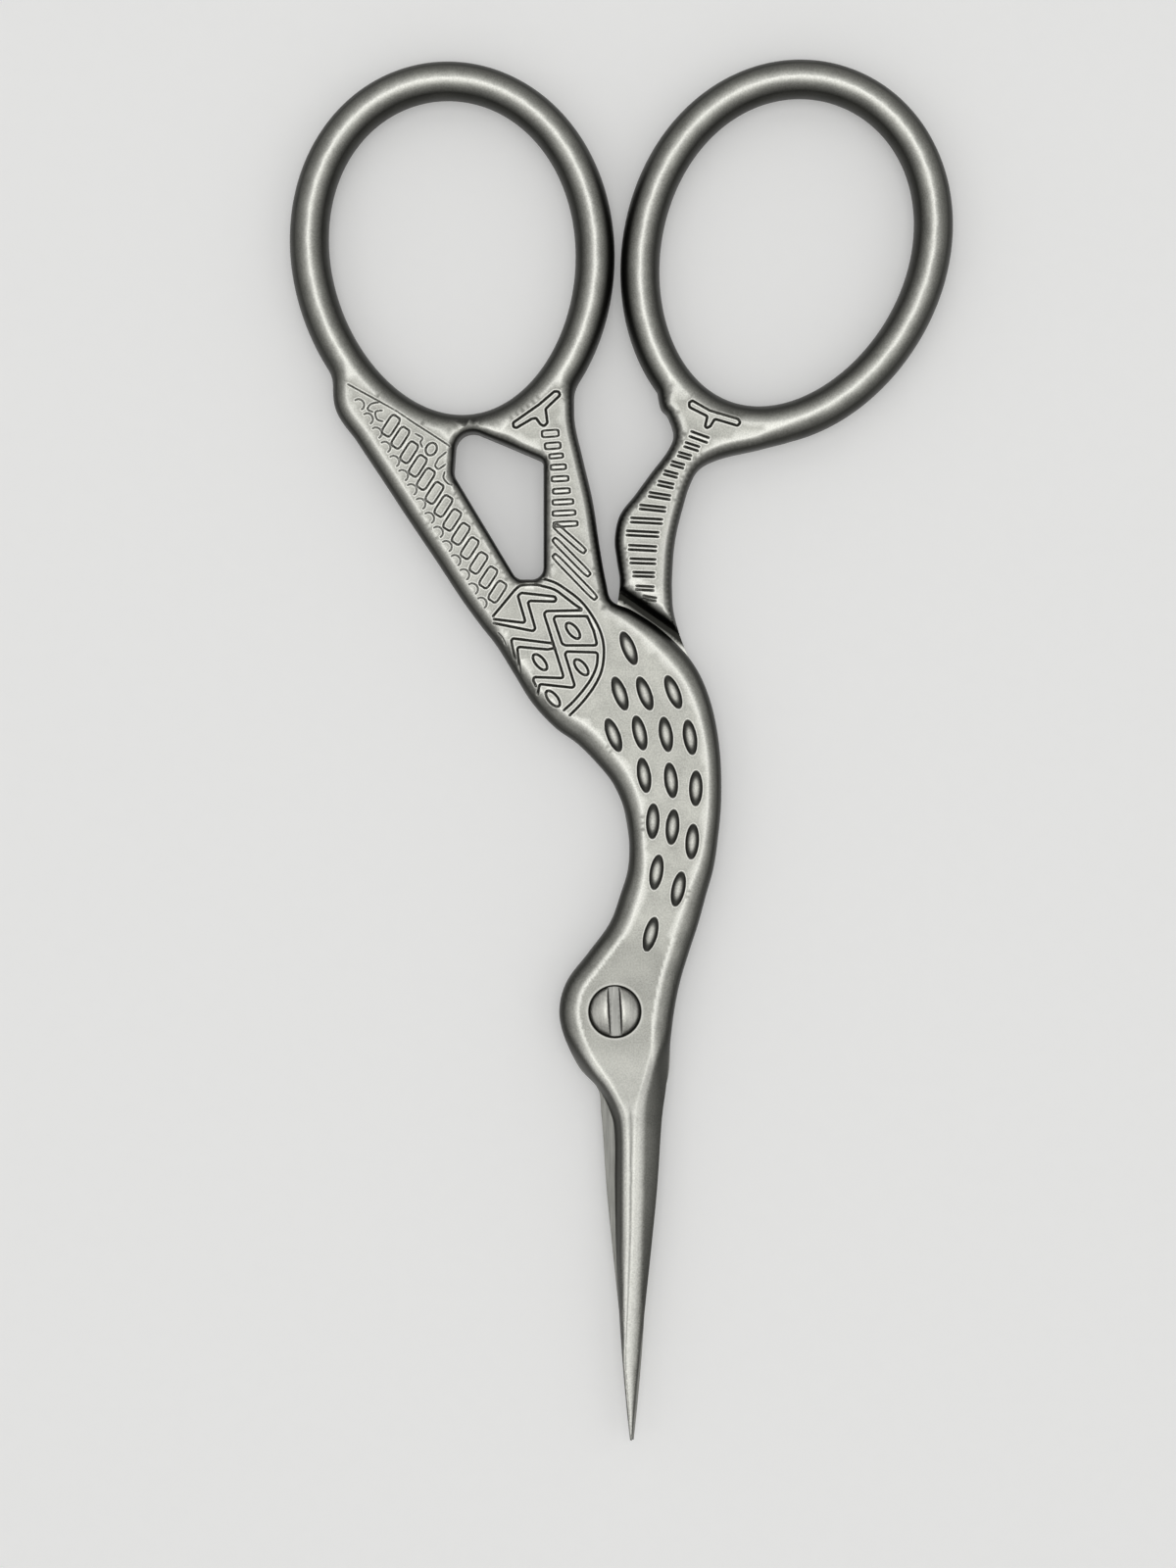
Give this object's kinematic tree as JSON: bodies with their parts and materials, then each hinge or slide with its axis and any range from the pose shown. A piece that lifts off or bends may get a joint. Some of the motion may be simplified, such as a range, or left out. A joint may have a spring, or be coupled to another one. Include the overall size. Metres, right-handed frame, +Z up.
{
  "type": "embroidery scissors",
  "caption": "Small bird-shaped needlework scissors: two lapped halves with finger rings, a body, neck and long beak blades, joined by a slotted pivot screw.",
  "frame": {"origin": "centre of the closed scissors seen from above, on the surface that they lie on", "axes": "+Y from the blade tips towards the finger rings, +X towards the ring of the bottom half, +Z up out of the face with the screw head"},
  "size_m": [0.0458, 0.0952, 0.0034],
  "materials": {
    "satin_steel": "satin",
    "screw_steel": "satin"
  },
  "bodies": {
    "back": {"bottom_half": "satin_steel", "pivot_screw": "screw_steel"},
    "front": {"top_half": "satin_steel"}
  },
  "joints": [
    {"name": "pivot", "type": "hinge", "parent": "back", "child": "front", "pos_m": [-0.00046, -0.01796, 0.0017], "axis": [0, 0, 1], "range_deg": [0, 160]}
  ]
}
